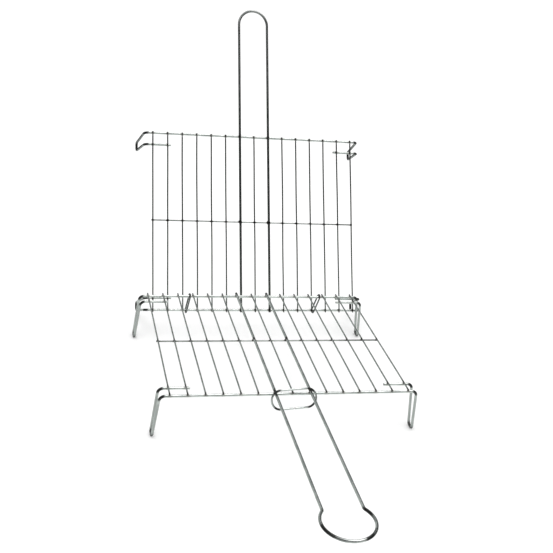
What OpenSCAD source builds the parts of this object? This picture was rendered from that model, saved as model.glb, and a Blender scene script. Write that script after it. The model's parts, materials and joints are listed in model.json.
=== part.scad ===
/* [Grate] */
// Distance from one lengthwise wire to the next
wire_pitch = 25; // [20:0.5:30]
// Number of places for a lengthwise wire, the two handle rods included
wire_places = 15; // [11:2:19]
// Distance between the hinge bar and the handle-end bar
bar_span = 300; // [220:5:380]
// Distance from the hinge bar to the middle cross wire
mid_wire_at = 151; // [80:1:200]
// How far the lengthwise wires pass the hinge bar
hinge_overhang = 4; // [3:0.5:6]
// How far the lengthwise wires pass the handle-end bar
handle_overhang = 2; // [1:0.5:6]
// How far the middle cross wire passes the outermost wires
mid_wire_overhang = 2.2; // [1:0.1:6]

/* [Wire] */
// Diameter of the wire of the handles and leg bars
heavy_d = 4.2; // [3.6:0.1:4.6]
// Diameter of the thin grill wires
thin_d = 2.4; // [1.8:0.1:3]
// Diameter of the wire of the hinge links
link_d = 2.6; // [2:0.1:3]
// Diameter of the wire of the locking ring
ring_d = 3; // [2.4:0.1:3.4]
// How deep two crossing wires are welded into each other
weld_set = 0.3; // [0.1:0.05:0.5]
// How much thicker a wire is where it was bent
bend_swell = 0.04; // [0.03:0.01:0.08]

/* [Leg bars] */
// Height of a leg, from the bar's centre line to the foot's
leg_h = 68; // [50:1:80]
// How far a bar passes the outermost wire before it turns down
leg_reach = 13.5; // [11:0.5:18]
// How much further out the foot stands than the top of its leg
leg_splay = 6.5; // [2:0.5:12]
// Distance from a bar to the tail beside it
leg_w = 20; // [17:0.5:24]
// Distance between the two strands of a leg at its foot
foot_w = 13.6; // [12:0.2:16]
// Distance from the outermost wire to the end of a tail
tail_len = 31; // [28:0.5:40]
// Bend radius where a bar turns into its leg
bar_bend_r = 8; // [6:0.5:9]
// Bend radius in the foot
foot_bend_r = 5; // [4:0.5:5.5]

/* [Handles] */
// Distance between the rods of the lower handle
lower_handle_w = 52; // [48:0.5:54]
// Length of the lower handle past its bar, to the far side of its loop
lower_handle_len = 311; // [290:1:400]
// Radius of the loop that ends the lower handle
loop_r = 33.6; // [32:0.2:40]
// Bend radius where a rod turns out into the loop
neck_bend_r = 7; // [5:0.5:10]
// Distance between the rods of the upper handle
upper_handle_w = 50; // [46:0.5:52]
// Length of the upper handle past its bar
upper_handle_len = 224; // [160:1:230]

/* [Hinge] */
// How far the open upper grate leans back from upright, in degrees
lean = 31; // [24:1:36]
// How far the upper hinge bar hangs below the lower one
hinge_drop = 27.5; // [26:0.5:34]
// How far the upper grate stands to the right of the lower one
side_shift = 10; // [8:0.5:11]
// Distance between the two strands of a hinge link
link_w = 10.4; // [9.6:0.2:12]
// Slack of a link at each hinge bar
link_gap = 0.3; // [0.2:0.05:0.6]
// Gap between the upper hinge bar and the rear legs that it rests against
leg_gap = 0.4; // [0.3:0.05:1]
// Place of the left link's top, from the wire on its left
left_link_at = 19.6; // [18:0.1:20]
// How far the left link's foot stands to the left of its top
left_link_slant = 3.4; // [1:0.1:4]
// How far the right link's foot stands to the left of its top
right_link_slant = 5.8; // [3:0.1:6.2]
// Gap between the right link's foot and the upper wire beside it
link_side_gap = 0.7; // [0.3:0.1:1]

/* [Locking ring] */
// Length of the ring, between its wire's centre lines
ring_len = 67; // [66:0.5:72]
// Height of the ring, between its wire's centre lines
ring_h = 27; // [24:0.5:30]
// How far the ring leans back from upright, in degrees
ring_lean = 23.5; // [15:0.5:30]
// How far the ring's right end stands back, in degrees
ring_yaw = 6.5; // [0:0.5:8]
// Distance from the ring's centre to the handle-end bar beside it
ring_at = 9.3; // [9:0.1:60]
// Gap between the two butting ends of the ring
ring_butt = 1.6; // [0.4:0.2:3]
// Gap between the ring and the rods that it hangs on
ring_gap = 0.35; // [0.25:0.05:0.6]

/* [Hidden] */
$fn = 48;
zinc = [0.78, 0.80, 0.82];

heavy_r = heavy_d / 2;
thin_r = thin_d / 2;
link_r = link_d / 2;
ring_r = ring_d / 2;

middle_place = (wire_places - 1) / 2;
outer_x = middle_place * wire_pitch;
rod_places = [middle_place - 1, middle_place + 1];
thin_places = [for (i = [0:wire_places - 1]) if (i != rod_places[0] && i != rod_places[1]) i];
thin_count = len(thin_places);

// Heights above the plane of a grate's bar centre lines, on the side that holds the food
under_h = heavy_r - weld_set;
thin_h = under_h + thin_r;
rod_h = under_h + heavy_r;
rod_top_h = under_h + heavy_d;
mid_wire_h = under_h - thin_r + weld_set;

// Leg bar outline, from the bar outwards and down
leg_top_x = outer_x + leg_reach;
foot_x = leg_top_x + leg_splay;
foot_inset = (leg_w - foot_w) / 2;
tail_end_x = outer_x - tail_len;

// The origin lies on the table, midway between the four feet of the lower grate
table_h = leg_h + heavy_r + bend_swell / 2;
lower_origin = [0, bar_span / 2, table_h];

// The upper hinge bar, seen from the lower one
leg_inset_at_bar = foot_inset * hinge_drop / leg_h;
hinge_back = heavy_d + leg_gap - leg_inset_at_bar;
hinge_reach = norm([hinge_back, hinge_drop]);
upper_origin = lower_origin + [side_shift, hinge_back, -hinge_drop];

// Hinge links, sized for the one that slants most
link_end_r = link_w / 2;
link_seat = heavy_r + link_gap + link_r;
link_tilt_max = atan(right_link_slant / hinge_reach);
link_len = (hinge_reach + 2 * link_seat) / cos(link_tilt_max);
left_link_x = -outer_x + wire_pitch * 2 + left_link_at;
right_link_foot_x = side_shift + outer_x - 3 * wire_pitch + thin_r + link_side_gap + link_r;
right_link_x = right_link_foot_x + right_link_slant;
link_butt = 0.5;
bend_lap = 0.3;

// The ring hangs on the rods by the round corners of its top, which clasp them
ring_end_r = ring_h / 2;
ring_straight = ring_len / 2 - ring_end_r;
ring_seat = (heavy_r + ring_r + ring_gap) * 2 / (1 + cos(ring_lean));
ring_shift = ring_end_r * 3 / 4 * sin(ring_lean) * sin(ring_yaw);
rod_past_straight = lower_handle_w / 2 / cos(ring_yaw) - ring_straight;
rod_over_centre = sqrt(pow(ring_end_r - ring_seat, 2) - pow(rod_past_straight, 2));
ring_centre_h = rod_h - rod_over_centre * cos(ring_lean);

// Where the straight rods end, seen from the hinge bar
lower_rod_end = bar_span + lower_handle_len - loop_r;
upper_rod_end = bar_span + upper_handle_len - upper_handle_w / 2;

function unit(v) = v / norm(v);
function tidy(v) = round(v * 1000) / 1000;
function turn(a, b, c) = acos(unit(b - a) * unit(c - b));
function cut(a, b, c, r) = r * tan(turn(a, b, c) / 2);

// A straight round wire from a to b
module run(a, b, d) {
  along = unit(b - a);
  side = abs(along.x) > 0.9 ? unit(cross(along, [0, 0, 1])) : unit(cross(along, [1, 0, 0]));
  other = cross(along, side);
  multmatrix([
    [side.x, other.x, along.x, a.x],
    [side.y, other.y, along.y, a.y],
    [side.z, other.z, along.z, a.z]
  ]) cylinder(h = norm(b - a), d = d);
}

// A round bend at corner b, between the straights from a and to c
module bend(a, b, c, d, r) {
  into = unit(b - a);
  out = unit(c - b);
  angle = turn(a, b, c);
  axis = unit(cross(into, out));
  inward = cross(axis, into);
  centre = b - into * cut(a, b, c, r) + inward * r;
  multmatrix([
    [-inward.x, into.x, axis.x, centre.x],
    [-inward.y, into.y, axis.y, centre.y],
    [-inward.z, into.z, axis.z, centre.z]
  ]) rotate_extrude(angle = angle) translate([r, 0]) circle(d = d + bend_swell);
}

// A wire through the given points, rounded at each inner point by its own bend radius
module bent_wire(points, bends, d) {
  last = len(points) - 1;
  for (i = [0:last - 1]) {
    along = unit(points[i + 1] - points[i]);
    from_cut = i == 0 ? 0 : cut(points[i - 1], points[i], points[i + 1], bends[i - 1]) - bend_lap;
    to_cut = i == last - 1 ? 0 : cut(points[i], points[i + 1], points[i + 2], bends[i]) - bend_lap;
    run(points[i] + along * from_cut, points[i + 1] - along * to_cut, d);
  }
  for (i = [1:last - 1]) bend(points[i - 1], points[i], points[i + 1], d, bends[i - 1]);
}

// Puts a grate's own frame in the model: its hinge bar at y = 0, its handle towards +y,
// its food side up
module lower_place() {
  translate(lower_origin) rotate([0, 0, 180]) children();
}
module upper_place() {
  translate(upper_origin) rotate([90 - lean, 0, 0]) children();
}

// One leg bar: bar, two U-shaped legs and two tails; the tails lie towards inner_side
module leg_bar(bar_y, inner_side) {
  tail_y = bar_y + inner_side * leg_w;
  foot_bar_y = bar_y + inner_side * foot_inset;
  foot_tail_y = tail_y - inner_side * foot_inset;
  half = [
    [tail_end_x, tail_y, 0],
    [leg_top_x, tail_y, 0],
    [foot_x, foot_tail_y, -leg_h],
    [foot_x, foot_bar_y, -leg_h],
    [leg_top_x, bar_y, 0]
  ];
  other_half = [for (i = [4:-1:0]) [-half[i].x, half[i].y, half[i].z]];
  half_bends = [bar_bend_r, foot_bend_r, foot_bend_r, bar_bend_r];
  other_bends = [for (i = [3:-1:0]) half_bends[i]];
  bent_wire(concat(half, other_half), concat(half_bends, other_bends), heavy_d);
}

// A thin lengthwise wire at a place counted from the grate's left
module grill_wire(place) {
  x = -outer_x + place * wire_pitch;
  run([x, -hinge_overhang, thin_h], [x, bar_span + handle_overhang, thin_h], thin_d);
}

module mid_wire() {
  half_len = outer_x + mid_wire_overhang;
  run([-half_len, mid_wire_at, mid_wire_h], [half_len, mid_wire_at, mid_wire_h], thin_d);
}

// Two rods joined by a widened round loop, with a small reverse bend at each neck
module looped_handle() {
  rod_x = lower_handle_w / 2;
  bend_x = rod_x + neck_bend_r;
  neck_y = lower_rod_end - sqrt(pow(loop_r + neck_bend_r, 2) - bend_x * bend_x);
  neck_angle = acos(bend_x / (loop_r + neck_bend_r));
  loop_start = neck_angle + asin(bend_lap / loop_r);
  for (side = [-1, 1]) {
    run([side * rod_x, -hinge_overhang, rod_h], [side * rod_x, neck_y + bend_lap, rod_h], heavy_d);
    translate([side * bend_x, neck_y, rod_h])
      rotate([0, 0, side > 0 ? 180 - neck_angle : 0])
        rotate_extrude(angle = neck_angle)
          translate([neck_bend_r, 0]) circle(d = heavy_d + bend_swell);
  }
  translate([0, lower_rod_end, rod_h])
    rotate([0, 0, -loop_start])
      rotate_extrude(angle = 180 + 2 * loop_start) translate([loop_r, 0]) circle(d = heavy_d);
}

// Two rods joined by a plain half circle
module bow_handle() {
  rod_x = upper_handle_w / 2;
  for (side = [-1, 1])
    run([side * rod_x, -hinge_overhang, rod_h], [side * rod_x, upper_rod_end, rod_h], heavy_d);
  translate([0, upper_rod_end, rod_h])
    rotate_extrude(angle = 180) translate([rod_x, 0]) circle(d = heavy_d);
}

// An oblong wire loop in the YZ plane, hanging from a bar at the origin, open at a butt joint
module hinge_link() {
  top_z = link_seat / cos(link_tilt_max);
  upper_z = tidy(top_z - link_end_r);
  lower_z = tidy(top_z - link_len + link_end_r);
  middle_z = tidy((upper_z + lower_z) / 2);
  run([0, -link_end_r, lower_z], [0, -link_end_r, upper_z], link_d);
  run([0, link_end_r, lower_z], [0, link_end_r, middle_z - link_butt / 2], link_d);
  run([0, link_end_r, middle_z + link_butt / 2], [0, link_end_r, upper_z], link_d);
  translate([0, 0, upper_z]) rotate([90, 0, 90])
    rotate_extrude(angle = 180) translate([link_end_r, 0]) circle(d = link_d);
  translate([0, 0, lower_z]) rotate([90, 0, 90]) rotate([0, 0, 180])
    rotate_extrude(angle = 180) translate([link_end_r, 0]) circle(d = link_d);
}

// A link at x, pointing from the lower hinge bar to the upper one, its foot slanted to the left
module placed_link(x, slant) {
  translate(lower_origin + [x, 0, 0])
    rotate([atan(hinge_back / hinge_drop), 0, 0])
      rotate([0, atan(slant / hinge_reach), 0])
        hinge_link();
}

// The ring in the XZ plane around its centre, open in the middle of its lower side
module ring_loop() {
  run([-ring_straight, 0, ring_end_r], [ring_straight, 0, ring_end_r], ring_d);
  run([-ring_straight, 0, -ring_end_r], [-ring_butt / 2, 0, -ring_end_r], ring_d);
  run([ring_butt / 2, 0, -ring_end_r], [ring_straight, 0, -ring_end_r], ring_d);
  for (side = [-1, 1])
    translate([side * ring_straight, 0, 0]) rotate([90, 0, 0]) rotate([0, 0, -side * 90])
      rotate_extrude(angle = 180) translate([ring_end_r, 0]) circle(d = ring_d);
}

module lower_handle_wire() {
  color(zinc) lower_place() looped_handle();
}
module lower_front_leg_bar() {
  color(zinc) lower_place() leg_bar(bar_span, -1);
}
module lower_rear_leg_bar() {
  color(zinc) lower_place() leg_bar(0, 1);
}
module lower_mid_wire() {
  color(zinc) lower_place() mid_wire();
}
module lower_grill_wire(place) {
  color(zinc) lower_place() grill_wire(wire_places - 1 - place);
}
module upper_handle_wire() {
  color(zinc) upper_place() bow_handle();
}
module upper_top_leg_bar() {
  color(zinc) upper_place() leg_bar(bar_span, -1);
}
module upper_hinge_leg_bar() {
  color(zinc) upper_place() leg_bar(0, 1);
}
module upper_mid_wire() {
  color(zinc) upper_place() mid_wire();
}
module upper_grill_wire(place) {
  color(zinc) upper_place() grill_wire(place);
}
module left_hinge_link() {
  color(zinc) placed_link(left_link_x, left_link_slant);
}
module right_hinge_link() {
  color(zinc) placed_link(right_link_x, right_link_slant);
}
module locking_ring() {
  color(zinc)
    translate(lower_origin + [ring_shift, -bar_span - ring_at, ring_centre_h])
      rotate([0, 0, ring_yaw]) rotate([-ring_lean, 0, 0]) ring_loop();
}

lower_handle_wire();
lower_front_leg_bar();
lower_rear_leg_bar();
lower_mid_wire();
upper_handle_wire();
upper_top_leg_bar();
upper_hinge_leg_bar();
upper_mid_wire();
left_hinge_link();
right_hinge_link();
locking_ring();
for (i = [1:thin_count])
  lower_grill_wire(thin_places[i - 1]);
for (i = [1:thin_count])
  upper_grill_wire(thin_places[i - 1]);
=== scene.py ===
import json
from math import acos, atan2, cos, pi, radians, sin, sqrt, tan

import bpy
from mathutils import Matrix, Vector


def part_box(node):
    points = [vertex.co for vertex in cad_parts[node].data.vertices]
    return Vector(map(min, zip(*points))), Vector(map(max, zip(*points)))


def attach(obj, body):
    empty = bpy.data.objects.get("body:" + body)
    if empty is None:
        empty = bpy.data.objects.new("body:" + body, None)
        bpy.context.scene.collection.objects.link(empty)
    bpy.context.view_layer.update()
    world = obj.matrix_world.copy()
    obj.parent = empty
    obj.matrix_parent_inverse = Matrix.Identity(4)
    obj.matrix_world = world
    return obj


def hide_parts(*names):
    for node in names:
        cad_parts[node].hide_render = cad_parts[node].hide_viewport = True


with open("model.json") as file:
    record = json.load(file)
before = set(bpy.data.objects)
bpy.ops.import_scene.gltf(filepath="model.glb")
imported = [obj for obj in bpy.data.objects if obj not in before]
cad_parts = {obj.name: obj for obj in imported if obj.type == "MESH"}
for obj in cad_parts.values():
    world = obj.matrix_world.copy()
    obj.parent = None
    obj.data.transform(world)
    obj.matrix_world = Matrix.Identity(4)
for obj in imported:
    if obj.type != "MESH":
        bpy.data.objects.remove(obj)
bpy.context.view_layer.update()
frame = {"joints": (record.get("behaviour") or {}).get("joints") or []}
joints = {joint["name"]: joint for joint in frame["joints"]}
mm = 0.001


# A socket in an expression: each operator adds its Math node
class Value:
    def __init__(self, graph, socket):
        self.graph, self.socket = graph, socket

    def math(self, operation, *others):
        inputs = dict(enumerate((self, *others)))
        return self.graph.node("ShaderNodeMath", {"operation": operation}, inputs)

    def swapped(self, operation, other):
        return self.graph.node("ShaderNodeMath", {"operation": operation}, {0: other, 1: self})

    def __add__(self, other):
        return self.math("ADD", other)

    def __radd__(self, other):
        return self.swapped("ADD", other)

    def __sub__(self, other):
        return self.math("SUBTRACT", other)

    def __rsub__(self, other):
        return self.swapped("SUBTRACT", other)

    def __mul__(self, other):
        return self.math("MULTIPLY", other)

    def __rmul__(self, other):
        return self.swapped("MULTIPLY", other)

    def __truediv__(self, other):
        return self.math("DIVIDE", other)

    def __rtruediv__(self, other):
        return self.swapped("DIVIDE", other)

    def __abs__(self):
        return self.math("ABSOLUTE")


# Adds nodes to a shader or geometry tree
class Graph:
    def __init__(self, tree):
        self.tree = tree
        tree.nodes.clear()

    def node(self, kind, settings=None, inputs=None, output=0):
        made = self.tree.nodes.new(kind)
        for key, setting in (settings or {}).items():
            setattr(made, key, setting)
        for key, given in (inputs or {}).items():
            socket = made.inputs[key]
            for part in given if isinstance(given, list) else [given]:
                if isinstance(part, Value):
                    self.tree.links.new(part.socket, socket)
                elif socket.type == "RGBA":
                    socket.default_value = (*part, 1)
                else:
                    socket.default_value = part
        return Value(self, made.outputs[output]) if len(made.outputs) else made

    def split(self, vector):
        self.node("ShaderNodeSeparateXYZ", None, {"Vector": vector})
        return [Value(self, part) for part in self.tree.nodes[-1].outputs]

    def joined(self, x, y, z):
        return self.node("ShaderNodeCombineXYZ", None, {"X": x, "Y": y, "Z": z})

    def fade(self, value, low, high, to=1.0):  # 0 at low, smoothly up to 1 at high
        settings = {"interpolation_type": "SMOOTHSTEP", "clamp": True}
        return self.node("ShaderNodeMapRange", settings,
                         {"Value": value, "From Min": low, "From Max": high, "To Min": 0.0, "To Max": to})

    def noise(self, vector, scale, detail=2.0, roughness=0.5):
        return self.node("ShaderNodeTexNoise", {"noise_dimensions": "3D"},
                         {"Vector": vector, "Scale": scale, "Detail": detail, "Roughness": roughness})


def newMaterial(name):
    material = bpy.data.materials.new(name)
    material.use_nodes = True
    return material, Graph(material.node_tree)


def blendColour(graph, factor, first, second):
    return graph.node("ShaderNodeMix", {"data_type": "RGBA"}, {0: factor, 6: first, 7: second}, output=2)


# Zinc plating over drawn steel wire
plating = {
    "bright": (0.80, 0.825, 0.805),
    "dull": (0.55, 0.58, 0.565),
    "darkerDownLegs": {"lower": (0.42, 0.435, 0.425), "upper": (0.14, 0.145, 0.14)},  # darker down the legs; much darker on the upper grate's legs
    "crazedAndDarkReflection": (0.06, 0.062, 0.06),  # crazed plating at a bend, partly painted dark reflection of the room that the bend mirrors
    "sootAndShadeBlack": (0.024, 0.023, 0.0215),
    "roughness": 0.14,
    "patchLength": 18 * mm,
    "streakLength": 9 * mm,
    "streakWidth": 0.35 * mm,
    "pitSize": 0.5 * mm,
    "raggedSize": 1.6 * mm,
    # reaches of the dark round the welds: weld soot, partly painted shadow of the crossing wires
    "burnAndShadeReach": 1.4 * mm,
    "barBurnAndShadeReach": 0.0 * mm,
    "rodBurnAndShadeReach": 2.2 * mm,
    "burnAndShadeSoft": 3.2 * mm,
    "tintReach": 7 * mm,
    "tint": (0.36, 0.33, 0.27),
    "legDarkeningFrom": 3 * mm,
    "legDarkeningTo": 16 * mm,
    "footDarkeningReach": 9 * mm,
}


def wireCoordinates(graph):
    along = graph.node("ShaderNodeAttribute", {"attribute_name": "along"}, None, output="Fac")
    rim = graph.node("ShaderNodeAttribute", {"attribute_name": "rim"}, None, output="Vector")
    spot = graph.node("ShaderNodeAttribute", {"attribute_name": "spot"}, None, output="Vector")
    strain = graph.node("ShaderNodeAttribute", {"attribute_name": "strain"}, None, output="Fac")
    return along, rim, spot, strain


def makePlating(name, tone=1.0, welded=0.0, burnAndShadeReach=plating["burnAndShadeReach"], darkerDownLegs=None):
    material, graph = newMaterial(name)
    along, rim, spot, strain = wireCoordinates(graph)
    rimX, rimY, rimZ = graph.split(rim)
    x, y, z = graph.split(spot)
    stretched = graph.joined(along * (plating["streakWidth"] / plating["streakLength"]), rimX, rimY)
    streak = graph.noise(stretched, 1 / plating["streakWidth"], 2.0)
    patch = graph.noise(graph.joined(along, rimX * 3, rimY * 3), 1 / plating["patchLength"], 3.0)
    pits = graph.noise(spot, 1 / plating["pitSize"], 2.0, 0.6)

    shaded = [tuple(tone * part for part in plating[key]) for key in ("bright", "dull", "crazedAndDarkReflection")]
    colour = blendColour(graph, graph.fade(patch + streak * 0.3, 0.48, 0.82), shaded[0], shaded[1])
    # darkness at the bends: partly crazed plating, partly painted dark reflection standing in for the dark room
    # mirrored there
    crazingAndReflectionMask = graph.fade(strain * (0.1 + streak * 0.8 + patch * 0.6 + pits * 0.4), 0.05, 1.15)
    colour = blendColour(graph, crazingAndReflectionMask, colour, shaded[2])
    rough = plating["roughness"] + patch * 0.08 + streak * 0.06 + crazingAndReflectionMask * 0.12

    if welded:
        ragged = graph.noise(spot, 1 / plating["raggedSize"], 2.0) * 5 + pits * 1.4 - 3.2
        burnAndShade, tint = weldBurnAndShade(graph, x, y, z, ragged * mm, burnAndShadeReach)
        colour = blendColour(graph, tint * 0.3, colour, plating["tint"])
        # the dark round each weld is soot and partly painted shadow of the crossing wire
        colour = blendColour(graph, burnAndShade * welded, colour, plating["sootAndShadeBlack"])
        rough = rough + burnAndShade * 0.12
    if darkerDownLegs:
        footAt = -legBar["height"]
        # darker down the legs, from just under the grate
        downLegDarkening = graph.fade(z, -plating["legDarkeningFrom"], -plating["legDarkeningTo"]) * (0.45 + patch * 0.5 + pits * 0.4)
        colour = blendColour(graph, downLegDarkening, colour, darkerDownLegs)
        # darker at the foot bottoms, near the floor
        footDarkening = graph.fade(z, footAt + plating["footDarkeningReach"], footAt) * (0.35 + pits * 0.9)
        colour = blendColour(graph, footDarkening, colour, plating["sootAndShadeBlack"])
        rough = rough + footDarkening * 0.2

    bump = graph.node("ShaderNodeBump", None,
                      {"Strength": 0.35, "Distance": 0.00004, "Height": streak * 0.6 + pits * 0.4})
    surface = graph.node("ShaderNodeBsdfPrincipled", None,
                         {"Base Color": colour, "Metallic": 1.0, "Roughness": rough, "Normal": bump})
    graph.node("ShaderNodeOutputMaterial", None, {"Surface": surface})
    return material


# Soot and heat tint round the welds, the dark partly painted shadow of the crossing wires: across a row of welds, and
# along a cross wire from lane to lane
def weldBurnAndShade(graph, x, y, z, ragged, reach):
    onTail = graph.fade(abs(x), outerX - legBar["tail"] - 2 * mm, outerX - legBar["tail"])
    row = None
    for place in weld["rows"]:
        away = abs(y - place)
        if place in weld["tailRows"]:
            away = away + (1 - onTail) * 0.1
        row = away if row is None else row.math("MINIMUM", away)
    lane = abs((x / grate["pitch"] + 0.5).math("FRACT") - 0.5) * grate["pitch"]
    away = row.math("MAXIMUM", lane) + abs(z - underH) * 0.15 + ragged
    burnAndShade = graph.fade(away, reach + plating["burnAndShadeSoft"], reach)
    tint = graph.fade(away, plating["tintReach"], reach)
    return burnAndShade, tint


def makeBurntWeld():
    material, graph = newMaterial("burntWeld")
    place = graph.node("ShaderNodeTexCoord", None, None, output="Object")
    lumps = graph.noise(place, 1 / (1.1 * mm), 3.0, 0.6)
    scale = graph.noise(place, 1 / (0.3 * mm), 2.0)
    colour = blendColour(graph, graph.fade(lumps + scale * 0.3, 0.5, 0.8), (0.012, 0.0115, 0.011), (0.07, 0.063, 0.056))
    bump = graph.node("ShaderNodeBump", None, {"Strength": 0.6, "Distance": 0.0001, "Height": lumps + scale * 0.5})
    surface = graph.node("ShaderNodeBsdfPrincipled", None,
                         {"Base Color": colour, "Metallic": 0.8, "Roughness": 0.45 + lumps * 0.3, "Normal": bump})
    graph.node("ShaderNodeOutputMaterial", None, {"Surface": surface})
    return material


def makeCutSteel():
    material, graph = newMaterial("cutSteel")
    place = graph.node("ShaderNodeTexCoord", None, None, output="Object")
    shear = graph.noise(place, 1 / (0.5 * mm), 3.0, 0.6)
    rust = graph.fade(graph.noise(place, 1 / (1.4 * mm), 2.0), 0.52, 0.7)
    colour = blendColour(graph, shear, (0.05, 0.05, 0.049), (0.16, 0.157, 0.15))
    colour = blendColour(graph, rust * 0.7, colour, (0.13, 0.055, 0.025))
    bump = graph.node("ShaderNodeBump", None, {"Strength": 0.5, "Distance": 0.00008, "Height": shear})
    surface = graph.node("ShaderNodeBsdfPrincipled", None,
                         {"Base Color": colour, "Metallic": 0.85, "Roughness": 0.4 + rust * 0.3, "Normal": bump})
    graph.node("ShaderNodeOutputMaterial", None, {"Surface": surface})
    return material


# Sizes that both grates share, in a grate's own frame: its hinge bar on the x axis, its wires along y
grate = {
    "pitch": 25 * mm,
    "places": 15,
    "rodPlaces": (6, 8),
    "barSpan": 300 * mm,
    "midRow": 151 * mm,
    "thinRadius": 1.2 * mm,
    "heavyRadius": 2.1 * mm,
    "set": 0.3 * mm,  # how deep crossing wires are welded into each other
    "hingeOverhang": 4 * mm,
    "handleOverhang": 2 * mm,
    "midOverhang": 2.2 * mm,
}
outerX = (grate["places"] - 1) / 2 * grate["pitch"]
underH = grate["heavyRadius"] - grate["set"]
thinH = underH + grate["thinRadius"]
rodH = underH + grate["heavyRadius"]
midH = underH - grate["thinRadius"] + grate["set"]

legBar = {
    "height": 68 * mm,
    "reach": 13.5 * mm,
    "splay": 6.5 * mm,
    "width": 20 * mm,
    "footWidth": 13.6 * mm,
    "tail": 31 * mm,
    "barBend": 8 * mm,
    "footBend": 5 * mm,
}

weld = {
    "rows": (0.0, grate["midRow"], grate["barSpan"], legBar["width"], grate["barSpan"] - legBar["width"]),
    "tailRows": (legBar["width"], grate["barSpan"] - legBar["width"]),
    "midSpread": 1.5,  # how much wider the beads of the middle row are
    "thinReach": 1.4 * mm,
    "rodReach": 2.3 * mm,
    "flatness": 0.45,
    "lumps": 0.28 * mm,
    "seed": 7,
}


# Where each grate lies: the centre of its hinge bar, the way its wires run, and its food side
def grateFrame(prefix, hinge, across):
    low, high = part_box(prefix + "_grill_wire_7")
    hingePoint = Vector(joints[hinge]["pos_m"])
    origin = Vector(((low.x + high.x) / 2, hingePoint.y, hingePoint.z))
    barLow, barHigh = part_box(prefix + "_mid_wire")
    food = Vector((0, 0, 1))
    middle = (barLow + barHigh) / 2 - origin
    middle.x = 0
    along = middle.normalized()
    for step in range(4):  # the middle wire lies a little under the plane of the food side
        food = across.cross(along).normalized()
        along = (middle - food * midH).normalized()
    turn = Matrix((across, along, across.cross(along))).transposed()
    return Matrix.Translation(origin) @ turn.to_4x4()


places = {
    "lower": grateFrame("lower", "link_swing", Vector((-1, 0, 0))),
    "upper": grateFrame("upper", "upper_fold", Vector((1, 0, 0))),
}


# A geometry tree with named inputs, and the values that they give
def geometryTree(name, inputs):
    tree = bpy.data.node_groups.new(name, "GeometryNodeTree")
    graph = Graph(tree)
    tree.interface.new_socket("Geometry", in_out="OUTPUT", socket_type="NodeSocketGeometry")
    for label, kind in {"Geometry": "Geometry", **inputs}.items():
        tree.interface.new_socket(label, in_out="INPUT", socket_type="NodeSocket" + kind)
    source = tree.nodes.new("NodeGroupInput")
    return graph, {label: Value(graph, source.outputs[label]) for label in ["Geometry", *inputs]}


def stored(graph, geometry, name, value, kind="FLOAT"):
    return graph.node("GeometryNodeStoreNamedAttribute", {"data_type": kind, "domain": "POINT"},
                      {"Geometry": geometry, "Name": name, "Value": value})


def named(graph, name):
    return graph.node("GeometryNodeInputNamedAttribute", {"data_type": "FLOAT"}, {"Name": name})


def swept(graph, line, given):  # a round wire along the line, with its own coordinates and shaded ends
    curveIndex = graph.node("GeometryNodeCurveOfPoint", None, None, output="Curve Index")
    length = graph.node("GeometryNodeSplineParameter", None, None, output="Length")
    line = stored(graph, line, "along", length + curveIndex * 0.37 + given["Along start"])
    rim = graph.node("GeometryNodeCurvePrimitiveCircle", None,
                     {"Resolution": given["Sides"], "Radius": given["Wire radius"]})
    position = graph.node("GeometryNodeInputPosition")
    rim = stored(graph, rim, "rim", position, "FLOAT_VECTOR")
    wire = graph.node("GeometryNodeCurveToMesh", None,
                      {"Curve": line, "Profile Curve": rim, "Scale": named(graph, "girth"), "Fill Caps": True})
    wire = stored(graph, wire, "spot", position, "FLOAT_VECTOR")
    wire = graph.node("GeometryNodeSetShadeSmooth", {"domain": "FACE"}, {"Geometry": wire, "Shade Smooth": True})
    edgeAngle = graph.node("GeometryNodeInputMeshEdgeAngle")
    wire = graph.node("GeometryNodeSetShadeSmooth", {"domain": "EDGE"},
                      {"Geometry": wire, "Selection": edgeAngle.math("GREATER_THAN", 0.6), "Shade Smooth": False})
    wire = graph.node("GeometryNodeRealizeInstances", None, {"Geometry": wire})
    wire = graph.node("GeometryNodeSetMaterial", None, {"Geometry": wire, "Material": given["Plating"]})
    corners = graph.node("GeometryNodeInputMeshFaceNeighbors")
    wire = graph.node("GeometryNodeSetMaterial", None,
                      {"Geometry": wire, "Selection": corners.math("GREATER_THAN", 4.5), "Material": given["Cut end"]})
    graph.node("NodeGroupOutput", None, {"Geometry": wire})


wireInputs = {"Wire radius": "Float", "Sides": "Int", "Along start": "Float",
              "Plating": "Material", "Cut end": "Material"}


def bentWireTree():
    graph, given = geometryTree("bentWire", {"Bend steps": "Int", "Crazing and reflection easing": "Int", **wireInputs})
    line = graph.node("GeometryNodeMeshToCurve", None, {"Mesh": given["Geometry"]})
    line = graph.node("GeometryNodeFilletCurve", {"mode": "POLY"},
                      {"Curve": line, "Count": given["Bend steps"], "Radius": named(graph, "bend"),
                       "Limit Radius": False})
    # eases each bend's crazing and painted dark reflection out along the wire
    eased = graph.node("GeometryNodeBlurAttribute", {"data_type": "FLOAT"},
                       {"Value": named(graph, "strain"), "Iterations": given["Crazing and reflection easing"],
                        "Weight": named(graph, "bend").math("GREATER_THAN", 0.0)})
    swept(graph, stored(graph, line, "strain", eased), given)
    return graph.tree


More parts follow.
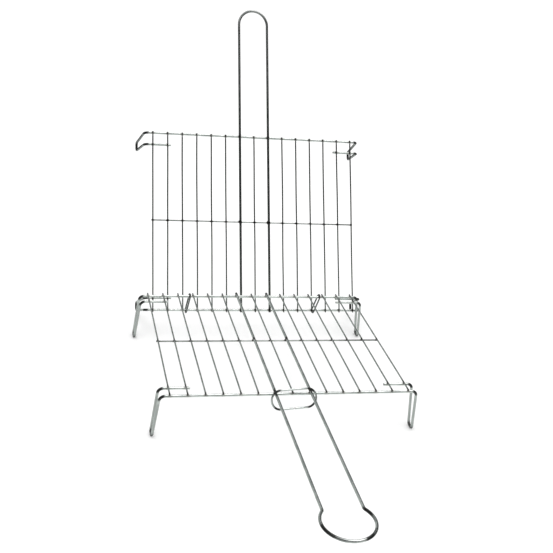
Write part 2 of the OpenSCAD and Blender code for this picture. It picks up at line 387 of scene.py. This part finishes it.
# One line repeated from place to place, each bowed a little between its welds
def grillWiresTree():
    graph, given = geometryTree("grillWires", {
        "Places": "Int", "Pitch": "Float", "First rod": "Int", "Second rod": "Int",
        "Bow": "Float", "Weld spacing": "Float", "Seed": "Int", **wireInputs})
    line = graph.node("GeometryNodeMeshToCurve", None, {"Mesh": given["Geometry"]})
    index = graph.node("GeometryNodeInputIndex")
    start = graph.joined((given["Places"] - 1) * given["Pitch"] * -0.5, 0.0, 0.0)
    lanes = graph.node("GeometryNodeMeshLine", {"mode": "OFFSET"},
                       {"Count": given["Places"], "Start Location": start,
                        "Offset": graph.joined(given["Pitch"], 0.0, 0.0)})
    onFirst = abs(index - given["First rod"]).math("LESS_THAN", 0.5)
    onSecond = abs(index - given["Second rod"]).math("LESS_THAN", 0.5)
    lanes = graph.node("GeometryNodeDeleteGeometry", {"domain": "POINT"},
                       {"Geometry": lanes, "Selection": onFirst + onSecond})
    wires = graph.node("GeometryNodeInstanceOnPoints", None, {"Points": lanes, "Instance": line})
    wires = graph.node("GeometryNodeRealizeInstances", None, {"Geometry": wires})
    x, y, z = graph.split(graph.node("GeometryNodeInputPosition"))
    wave = (y * 3.14159 / given["Weld spacing"]).math("SINE")
    half = (y * 6.28318 / given["Weld spacing"]).math("SINE")
    whose = graph.node("GeometryNodeCurveOfPoint", None, None, output="Curve Index")
    shares = [graph.node("FunctionNodeRandomValue", {"data_type": "FLOAT"},
                         {2: -1.0, 3: 1.0, "ID": whose, "Seed": given["Seed"] + extra}, output=1)
              for extra in range(3)]
    side = (wave * shares[0] + half * shares[1] * 0.4) * given["Bow"]
    wires = graph.node("GeometryNodeSetPosition", None,
                       {"Geometry": wires, "Offset": graph.joined(side, 0.0, wave * shares[2] * given["Bow"] * 0.5)})
    swept(graph, wires, given)
    return graph.tree


# A lumpy flattened bead at each crossing: a row of them on every seed point, only the outer two on a tail's
def weldTree():
    graph, given = geometryTree("welds", {
        "Places": "Int", "Pitch": "Float", "First rod": "Int", "Second rod": "Int", "Rod shift": "Float",
        "Thin reach": "Float", "Rod reach": "Float", "Flatness": "Float", "Lumps": "Float", "Seed": "Int",
        "Metal": "Material"})
    index = graph.node("GeometryNodeInputIndex")
    start = graph.joined((given["Places"] - 1) * given["Pitch"] * -0.5, 0.0, 0.0)
    lanes = graph.node("GeometryNodeMeshLine", {"mode": "OFFSET"},
                       {"Count": given["Places"], "Start Location": start,
                        "Offset": graph.joined(given["Pitch"], 0.0, 0.0)})
    onFirst = abs(index - given["First rod"]).math("LESS_THAN", 0.5)
    onSecond = abs(index - given["Second rod"]).math("LESS_THAN", 0.5)
    lanes = stored(graph, lanes, "reach",
                   given["Thin reach"] + (given["Rod reach"] - given["Thin reach"]) * (onFirst + onSecond))
    lanes = stored(graph, lanes, "inner",
                   abs(index - (given["Places"] - 1) * 0.5).math("LESS_THAN", given["Places"] * 0.5 - 2))
    lanes = graph.node("GeometryNodeSetPosition", None,
                       {"Geometry": lanes,
                        "Offset": graph.joined((onSecond - onFirst) * given["Rod shift"], 0.0, 0.0)})
    spots = graph.node("GeometryNodeInstanceOnPoints", None, {"Points": given["Geometry"], "Instance": lanes})
    spots = graph.node("GeometryNodeRealizeInstances", None, {"Geometry": spots})
    spots = graph.node("GeometryNodeDeleteGeometry", {"domain": "POINT"},
                       {"Geometry": spots, "Selection": named(graph, "tail") * named(graph, "inner")})
    chance = [graph.node("FunctionNodeRandomValue", {"data_type": "FLOAT"},
                         {2: low, 3: high, "Seed": given["Seed"] + extra}, output=1)
              for extra, (low, high) in enumerate(((0.86, 1.14), (0.86, 1.14), (-3.14, 3.14)))]
    reach = named(graph, "reach") * named(graph, "spread")
    beads = graph.node("GeometryNodeInstanceOnPoints", None,
                       {"Points": spots, "Instance": graph.node("GeometryNodeMeshIcoSphere", None,
                                                                {"Radius": 1.0, "Subdivisions": 2}),
                        "Rotation": graph.joined(0.0, 0.0, chance[2]),
                        "Scale": graph.joined(reach * chance[0], reach * chance[1], reach * given["Flatness"])})
    beads = graph.node("GeometryNodeRealizeInstances", None, {"Geometry": beads})
    swell = graph.node("ShaderNodeTexNoise", None,
                       {"Vector": graph.node("GeometryNodeInputPosition"), "Scale": 700.0, "Detail": 1.0}, output="Color")
    swell = graph.node("ShaderNodeVectorMath", {"operation": "SUBTRACT"}, {0: swell, 1: (0.5, 0.5, 0.5)})
    swell = graph.node("ShaderNodeVectorMath", {"operation": "SCALE"}, {0: swell, "Scale": given["Lumps"] * 2})
    beads = graph.node("GeometryNodeSetPosition", None, {"Geometry": beads, "Offset": swell})
    beads = graph.node("GeometryNodeSetShadeSmooth", None, {"Geometry": beads, "Shade Smooth": True})
    beads = graph.node("GeometryNodeRealizeInstances", None, {"Geometry": beads})
    beads = graph.node("GeometryNodeSetMaterial", None, {"Geometry": beads, "Material": given["Metal"]})
    graph.node("NodeGroupOutput", None, {"Geometry": beads})
    return graph.tree


# Runs a tree on a seed mesh and keeps the plain mesh that it gives, put in place
def grown(name, tree, seed, settings, place):
    piece = bpy.data.objects.new(name, seed)
    bpy.context.collection.objects.link(piece)
    modifier = piece.modifiers.new("shape", "NODES")
    modifier.node_group = tree
    for item in tree.interface.items_tree:
        if item.in_out == "INPUT" and item.name in settings:
            modifier[item.identifier] = settings[item.name]
    evaluated = piece.evaluated_get(bpy.context.evaluated_depsgraph_get())
    mesh = bpy.data.meshes.new_from_object(evaluated)
    piece.modifiers.remove(modifier)
    piece.data = mesh
    mesh.name = name
    mesh.transform(place)
    mesh.update()
    return piece


cutEnd = {"pinch": 0.8, "length": 0.35 * mm}
bendEase = 5 * mm  # how far past a bend its crazing and painted dark reflection fade out


# A wire's line, with extra points that pinch its cut ends and end the crazing and painted dark reflection beside its
# bends
def wireSeed(name, corners, bends, crazingAndReflectionByBend):
    corners = [Vector(corner) for corner in corners]
    turns = [(b - a).angle(c - b) for a, b, c in zip(corners, corners[1:], corners[2:])]
    cuts = [0.0, *(bend * tan(turn / 2) for bend, turn in zip(bends, turns)), 0.0]
    line = [(corners[0], 0.0, 0.0, cutEnd["pinch"])]
    for i, (a, b) in enumerate(zip(corners, corners[1:])):
        way = (b - a).normalized()
        length = (b - a).length
        first, last = i == 0, i == len(corners) - 2
        near = cutEnd["length"] if first else cuts[i] + bendEase
        far = length - (cutEnd["length"] if last else cuts[i + 1] + bendEase)
        if near < far:
            line += [(a + way * near, 0.0, 0.0, 1.0), (a + way * far, 0.0, 0.0, 1.0)]
        if not last:
            line.append((b, bends[i] * 0.999, crazingAndReflectionByBend[i], 1.0))
    line.append((corners[-1], 0.0, 0.0, cutEnd["pinch"]))
    return seedMesh(name, [point for point, *rest in line], True,
                    bend=[point[1] for point in line], strain=[point[2] for point in line],
                    girth=[point[3] for point in line])


def seedMesh(name, points, joined, **attributes):
    mesh = bpy.data.meshes.new(name + "Seed")
    mesh.from_pydata(points, [(i, i + 1) for i in range(len(points) - 1)] if joined else [], [])
    for key, values in attributes.items():
        mesh.attributes.new(key, "FLOAT", "POINT").data.foreach_set("value", values)
    return mesh


finishes = {
    **{prefix + "Bar": makePlating(prefix + "BarPlating", 1.0, 0.55, plating["barBurnAndShadeReach"], darkerDownLegs)
       for prefix, darkerDownLegs in plating["darkerDownLegs"].items()},
    "lowerHandle": makePlating("lowerHandlePlating", 0.85, 1.0, plating["rodBurnAndShadeReach"]),
    # the upper handle is a darker copy of the handle plating: painted dark reflection of the dark room that its rods
    # mirror
    "upperHandle": makePlating("upperHandleDarkReflectionPlating", 0.6, 0.9, plating["rodBurnAndShadeReach"]),
    "grill": makePlating("grillPlating", 0.66, 1.0),
    "link": makePlating("linkPlating", 0.24),
    "ring": makePlating("ringPlating", 1.0),
    "weld": makeBurntWeld(),
    "cut": makeCutSteel(),
}
trees = {"bent": bentWireTree(), "grill": grillWiresTree(), "welds": weldTree()}
startAlong = {"next": 0.0}
print("materials and geometry trees are made:", len(finishes), "and", len(trees))


def bentWire(name, node, body, corners, bends, crazingAndReflectionByBend, radius, finish, place):
    startAlong["next"] += 1.7
    seed = wireSeed(name, corners, bends, crazingAndReflectionByBend)
    piece = grown(name, trees["bent"], seed, {
        "Bend steps": 14, "Crazing and reflection easing": 16, "Wire radius": radius, "Sides": 24, "Along start": startAlong["next"],
        "Plating": finishes[finish], "Cut end": finishes["cut"]}, place)
    return fitted(piece, body, [node])


# Gives a piece its body and the CAD nodes that it stands for, and says how well it fits them
def fitted(piece, body, replaced):
    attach(piece, body)
    if replaced:
        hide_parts(*replaced)
        corners = [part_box(node) for node in replaced]
        for axis in range(3):
            values = [vertex.co[axis] for vertex in piece.data.vertices]
            off = (min(values) - min(low[axis] for low, high in corners),
                   max(values) - max(high[axis] for low, high in corners))
            if max(map(abs, off)) > 0.2 * mm:
                print("  ", piece.name, "XYZ"[axis], "is off by", [round(part / mm, 2) for part in off], "mm")
    return piece


def legBarLine(barY, inner):
    inset = (legBar["width"] - legBar["footWidth"]) / 2
    topX = outerX + legBar["reach"]
    footX = topX + legBar["splay"]
    tailY = barY + inner * legBar["width"]
    half = [
        (outerX - legBar["tail"], tailY, 0),
        (topX, tailY, 0),
        (footX, tailY - inner * inset, -legBar["height"]),
        (footX, barY + inner * inset, -legBar["height"]),
        (topX, barY, 0),
    ]
    return half + [(-x, y, z) for x, y, z in reversed(half)]


bars = {"lower_front": (grate["barSpan"], -1), "lower_rear": (0.0, 1),
        "upper_top": (grate["barSpan"], -1), "upper_hinge": (0.0, 1)}
for key, (barY, inner) in bars.items():
    prefix, end = key.split("_")
    # the leg bars' bends are painted dark: crazing and painted dark reflection
    bends = [legBar["barBend"], legBar["footBend"], legBar["footBend"], legBar["barBend"]] * 2
    bentWire(prefix + end.capitalize() + "LegBar", key + "_leg_bar", prefix + "_grate",
             legBarLine(barY, inner), bends, [1.3, 0.9, 0.9, 1.3] * 2, grate["heavyRadius"],
             prefix + "Bar", places[prefix])
print("leg bars:", len(bars))

# per loop arc: crazing and painted dark reflection, darker on the arcs that mirror the dark room
lowerHandle = {"rodX": 26 * mm, "length": 311 * mm, "loopRadius": 33.6 * mm, "neckBend": 7 * mm,
               "crazingAndReflectionByBend": (0.1, 0.5, 1.2, 1.0, 0.5, 0.3, 0.1, 1.6, 0.7, 0.1, 0.5, 1.4)}
upperHandle = {"rodX": 25 * mm, "length": 224 * mm}


def loopedHandleLine():
    rodX, loop, neck = lowerHandle["rodX"], lowerHandle["loopRadius"], lowerHandle["neckBend"]
    endY = grate["barSpan"] + lowerHandle["length"] - loop
    neckAngle = acos((rodX + neck) / (loop + neck))
    neckY = endY - (loop + neck) * sin(neckAngle)
    arcs = len(lowerHandle["crazingAndReflectionByBend"])
    step = (3.14159265 + 2 * neckAngle) / arcs
    half = [(rodX, -grate["hingeOverhang"], rodH), (rodX, neckY + neck * tan(neckAngle / 2), rodH)]
    corners = []
    for i in range(arcs):
        angle = -neckAngle + (i + 0.5) * step
        out = loop / cos(step / 2)
        corners.append((out * cos(angle), endY + out * sin(angle), rodH))
    line = half + corners + [(-x, y, z) for x, y, z in reversed(half)]
    return line, [neck] + [loop] * arcs + [neck]


line, bends = loopedHandleLine()
bentWire("lowerHandle", "lower_handle_wire", "lower_grate", line, bends,
         [0.6, *lowerHandle["crazingAndReflectionByBend"], 0.9], grate["heavyRadius"], "lowerHandle", places["lower"])
rodX, tipY = upperHandle["rodX"], grate["barSpan"] + upperHandle["length"]
line = [(rodX, -grate["hingeOverhang"], rodH), (rodX, tipY, rodH),
        (-rodX, tipY, rodH), (-rodX, -grate["hingeOverhang"], rodH)]
bentWire("upperHandle", "upper_handle_wire", "upper_grate", line, [rodX, rodX], [0.3, 0.3],
         grate["heavyRadius"], "upperHandle", places["upper"])
print("handles are bent")

grill = {"bow": 0.35 * mm, "step": 10 * mm, "sides": 16, "seed": {"lower": 3, "upper": 11}}


def grillLine():
    first, last = -grate["hingeOverhang"], grate["barSpan"] + grate["handleOverhang"]
    count = round((last - first) / grill["step"])
    inner = [first + (last - first) * i / count for i in range(1, count)]
    ys = [first, first + cutEnd["length"], *inner, last - cutEnd["length"], last]
    return [(0, y, thinH) for y in ys], [cutEnd["pinch"]] + [1.0] * (len(ys) - 2) + [cutEnd["pinch"]]


for prefix in places:
    points, girth = grillLine()
    replaced = [f"{prefix}_grill_wire_{i}" for i in range(1, grate["places"] - 1)]
    startAlong["next"] += 1.7
    seed = seedMesh(prefix + "GrillWires", points, True, girth=girth, strain=[0.0] * len(girth))
    wires = grown(prefix + "GrillWires", trees["grill"], seed, {
        "Places": grate["places"], "Pitch": grate["pitch"],
        "First rod": grate["rodPlaces"][0], "Second rod": grate["rodPlaces"][1],
        "Bow": grill["bow"], "Weld spacing": grate["midRow"], "Seed": grill["seed"][prefix],
        "Wire radius": grate["thinRadius"], "Sides": grill["sides"], "Along start": startAlong["next"],
        "Plating": finishes["grill"], "Cut end": finishes["cut"]}, places[prefix])
    fitted(wires, prefix + "_grate", replaced)
    reach = outerX + grate["midOverhang"]
    bentWire(prefix + "MidWire", prefix + "_mid_wire", prefix + "_grate",
             [(-reach, grate["midRow"], midH), (reach, grate["midRow"], midH)], [], [],
             grate["thinRadius"], "grill", places[prefix])
    rows = [(0, y, underH + grate["set"] / 2) for y in weld["rows"]]
    seed = seedMesh(prefix + "Welds", rows, False, tail=[float(y in weld["tailRows"]) for y in weld["rows"]],
                    spread=[weld["midSpread"] if y == grate["midRow"] else 1.0 for y in weld["rows"]])
    handle = lowerHandle if prefix == "lower" else upperHandle
    beads = grown(prefix + "Welds", trees["welds"], seed, {
        "Places": grate["places"], "Pitch": grate["pitch"],
        "First rod": grate["rodPlaces"][0], "Second rod": grate["rodPlaces"][1],
        "Rod shift": handle["rodX"] - grate["pitch"], "Thin reach": weld["thinReach"],
        "Rod reach": weld["rodReach"], "Flatness": weld["flatness"], "Lumps": weld["lumps"],
        "Seed": weld["seed"], "Metal": finishes["weld"]}, places[prefix])
    fitted(beads, prefix + "_grate", [])
print("grill wires and welds:", ", ".join(places))

link = {"radius": 1.3 * mm, "width": 10.4 * mm, "seat": 3.7 * mm, "butt": 0.5 * mm,
        "slants": {"left": 3.4 * mm, "right": 5.8 * mm}}
# per ring arc: crazing and painted dark reflection, darker on the arcs that mirror the dark room
ring = {"radius": 1.5 * mm, "length": 67 * mm, "height": 27 * mm, "butt": 1.6 * mm,
        "lean": radians(23.5), "yaw": radians(6.5), "crazingAndReflectionByBend": (1.6, 0.1, 0.2, 1.8, 1.8, 0.4, 0.8, 1.8)}


# An oblong ring round the origin in the XZ plane, open in the middle of its lower side, with round ends
# of so many bends each
def openRing(length, height, butt, bendsEach):
    radius = height / 2
    step = pi / bendsEach
    out = radius / cos(step / 2)
    end = [(length / 2 - radius + out * sin(angle), out * cos(angle))
           for angle in ((i + 0.5) * step for i in range(bendsEach))]
    line = [(-butt / 2, -radius), *((-x, -z) for x, z in end), *end, (butt / 2, -radius)]
    return [(x, 0, z) for x, z in line]


def boxCentre(node):
    low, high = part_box(node)
    return (low + high) / 2


hang = Vector(joints["upper_fold"]["pos_m"]) - Vector(joints["link_swing"]["pos_m"])
reach = sqrt(hang.y ** 2 + hang.z ** 2)
longest = (reach + 2 * link["seat"]) / cos(atan2(max(link["slants"].values()), reach))
for side, slant in link["slants"].items():
    turn = (Matrix.Rotation(atan2(hang.y, -hang.z), 4, "X") @ Matrix.Rotation(atan2(slant, reach), 4, "Y")
            @ Matrix.Rotation(radians(90), 4, "Z") @ Matrix.Rotation(radians(90), 4, "Y"))
    bentWire(side + "HingeLink", side + "_hinge_link", side + "_link",
             openRing(longest, link["width"], link["butt"], 2), [link["width"] / 2] * 4, [0.9] * 4,
             link["radius"], "link", Matrix.Translation(boxCentre(side + "_hinge_link")) @ turn)
turn = Matrix.Rotation(ring["yaw"], 4, "Z") @ Matrix.Rotation(-ring["lean"], 4, "X")
bentWire("lockingRing", "locking_ring", "locking_ring",
         openRing(ring["length"], ring["height"], ring["butt"], len(ring["crazingAndReflectionByBend"]) // 2),
         [ring["height"] / 2] * len(ring["crazingAndReflectionByBend"]), ring["crazingAndReflectionByBend"],
         ring["radius"], "ring", Matrix.Translation(boxCentre("locking_ring")) @ turn)
print("links and locking ring are bent")


# Floor, light and camera
studio = {
    "floorSize": 16.0,
    "floorColour": (0.93, 0.93, 0.93),
    "nearFloor": 0.6,
    "farFloor": 0.95,
    "mirroredNear": (0.84, 0.88, 0.86),
    "mirroredFar": (0.04, 0.042, 0.042),
    "cameraPlace": Vector((-357.9, -1246.3, 788.6)) * mm,
    "cameraForward": Vector((0.24775, 0.87103, -0.42417)),
    "cameraDown": Vector((0.01105, -0.44034, -0.89776)),
    "focalPixels": 950.76,
    "picturePixels": 553,
    "sensor": 36.0,
}


def makeFloor():
    size = studio["floorSize"] / 2
    mesh = bpy.data.meshes.new("floor")
    mesh.from_pydata([(-size, -size, 0), (size, -size, 0), (size, size, 0), (-size, size, 0)], [], [(0, 1, 2, 3)])
    floor = bpy.data.objects.new("floor", mesh)
    bpy.context.collection.objects.link(floor)
    material, graph = newMaterial("paleFloor")
    pale = graph.node("ShaderNodeBsdfPrincipled", None,
                      {"Base Color": studio["floorColour"], "Roughness": 0.9, "Specular IOR Level": 0.1})
    away = graph.node("ShaderNodeVectorMath", {"operation": "LENGTH"},
                      {0: graph.node("ShaderNodeTexCoord", None, None, output="Object")}, output="Value")
    # painted reflection: the wires mirror the floor as a glowing gradient, bright near the grill and dark far off
    mirrored = graph.node("ShaderNodeLightPath", None, None, output="Is Glossy Ray")
    far = graph.fade(away, studio["nearFloor"], studio["farFloor"])
    mirroredFloorGlow = blendColour(graph, far, studio["mirroredNear"], studio["mirroredFar"])
    mirroredFloorGlow = graph.node("ShaderNodeEmission", None, {"Color": mirroredFloorGlow, "Strength": 1.0})
    surface = graph.node("ShaderNodeMixShader", None, {0: mirrored, 1: pale, 2: mirroredFloorGlow})
    graph.node("ShaderNodeOutputMaterial", None, {"Surface": surface})
    mesh.materials.append(material)


def makeCamera():
    camera = bpy.data.objects.new("camera", bpy.data.cameras.new("camera"))
    bpy.context.collection.objects.link(camera)
    forward = studio["cameraForward"].normalized()
    up = -studio["cameraDown"].normalized()
    right = forward.cross(up).normalized()
    up = right.cross(forward)
    turn = Matrix((right, up, -forward)).transposed().to_4x4()
    camera.matrix_world = Matrix.Translation(studio["cameraPlace"]) @ turn
    camera.data.sensor_width = studio["sensor"]
    camera.data.lens = studio["focalPixels"] / studio["picturePixels"] * studio["sensor"]
    camera.data.clip_start, camera.data.clip_end = 0.01, 60
    bpy.context.scene.camera = camera


# The room as the eye sees it is plain and pale; the wires mirror dark walls under a bright ceiling
def makeWorld():
    world = bpy.data.worlds.new("studioWorld")
    bpy.context.scene.world = world
    world.use_nodes = True
    graph = Graph(world.node_tree)
    x, y, z = graph.split(graph.node("ShaderNodeTexCoord", None, None, output="Generated"))
    farWall = blendColour(graph, graph.fade(x, -0.05, 0.2), (0.52, 0.55, 0.54), (0.1, 0.105, 0.105))
    walls = blendColour(graph, graph.fade(y, 0.1, 0.85), (0.03, 0.031, 0.033), farWall)
    card = graph.fade(y, -0.5, -0.65) * graph.fade(z, 0.62, 0.2)
    walls = blendColour(graph, card, walls, (0.6, 0.62, 0.61))
    ceiling = graph.fade(z, 0.68, 0.78) * graph.fade(y, -0.5, -0.3) * graph.fade(x, -0.05, 0.1) * graph.fade(x, 0.7, 0.5)
    room = blendColour(graph, ceiling, walls, (2.5, 2.5, 2.5))
    pale = graph.node("ShaderNodeBackground", None, {"Color": (1, 1, 1), "Strength": 1.15})
    seen = graph.node("ShaderNodeBackground", None, {"Color": room, "Strength": 1.0})
    mirrored = graph.node("ShaderNodeLightPath", None, None, output="Is Glossy Ray")
    both = graph.node("ShaderNodeMixShader", None, {0: mirrored, 1: pale, 2: seen})
    graph.node("ShaderNodeOutputWorld", None, {"Surface": both})


def makeLight(name, place, aim, size, power):
    light = bpy.data.objects.new(name, bpy.data.lights.new(name, "AREA"))
    bpy.context.collection.objects.link(light)
    light.location = place
    light.rotation_mode = "QUATERNION"
    light.rotation_quaternion = (Vector(aim) - Vector(place)).to_track_quat("-Z", "Y")
    light.data.shape = "RECTANGLE"
    light.data.size, light.data.size_y = size
    light.data.energy = power


makeFloor()
makeCamera()
makeWorld()
makeLight("softboxTop", (-0.6, -0.4, 2.6), (0, 0, 0), (1.8, 1.4), 10)
bpy.context.scene.view_settings.view_transform = "Standard"
print("floor, lights and camera are in place")
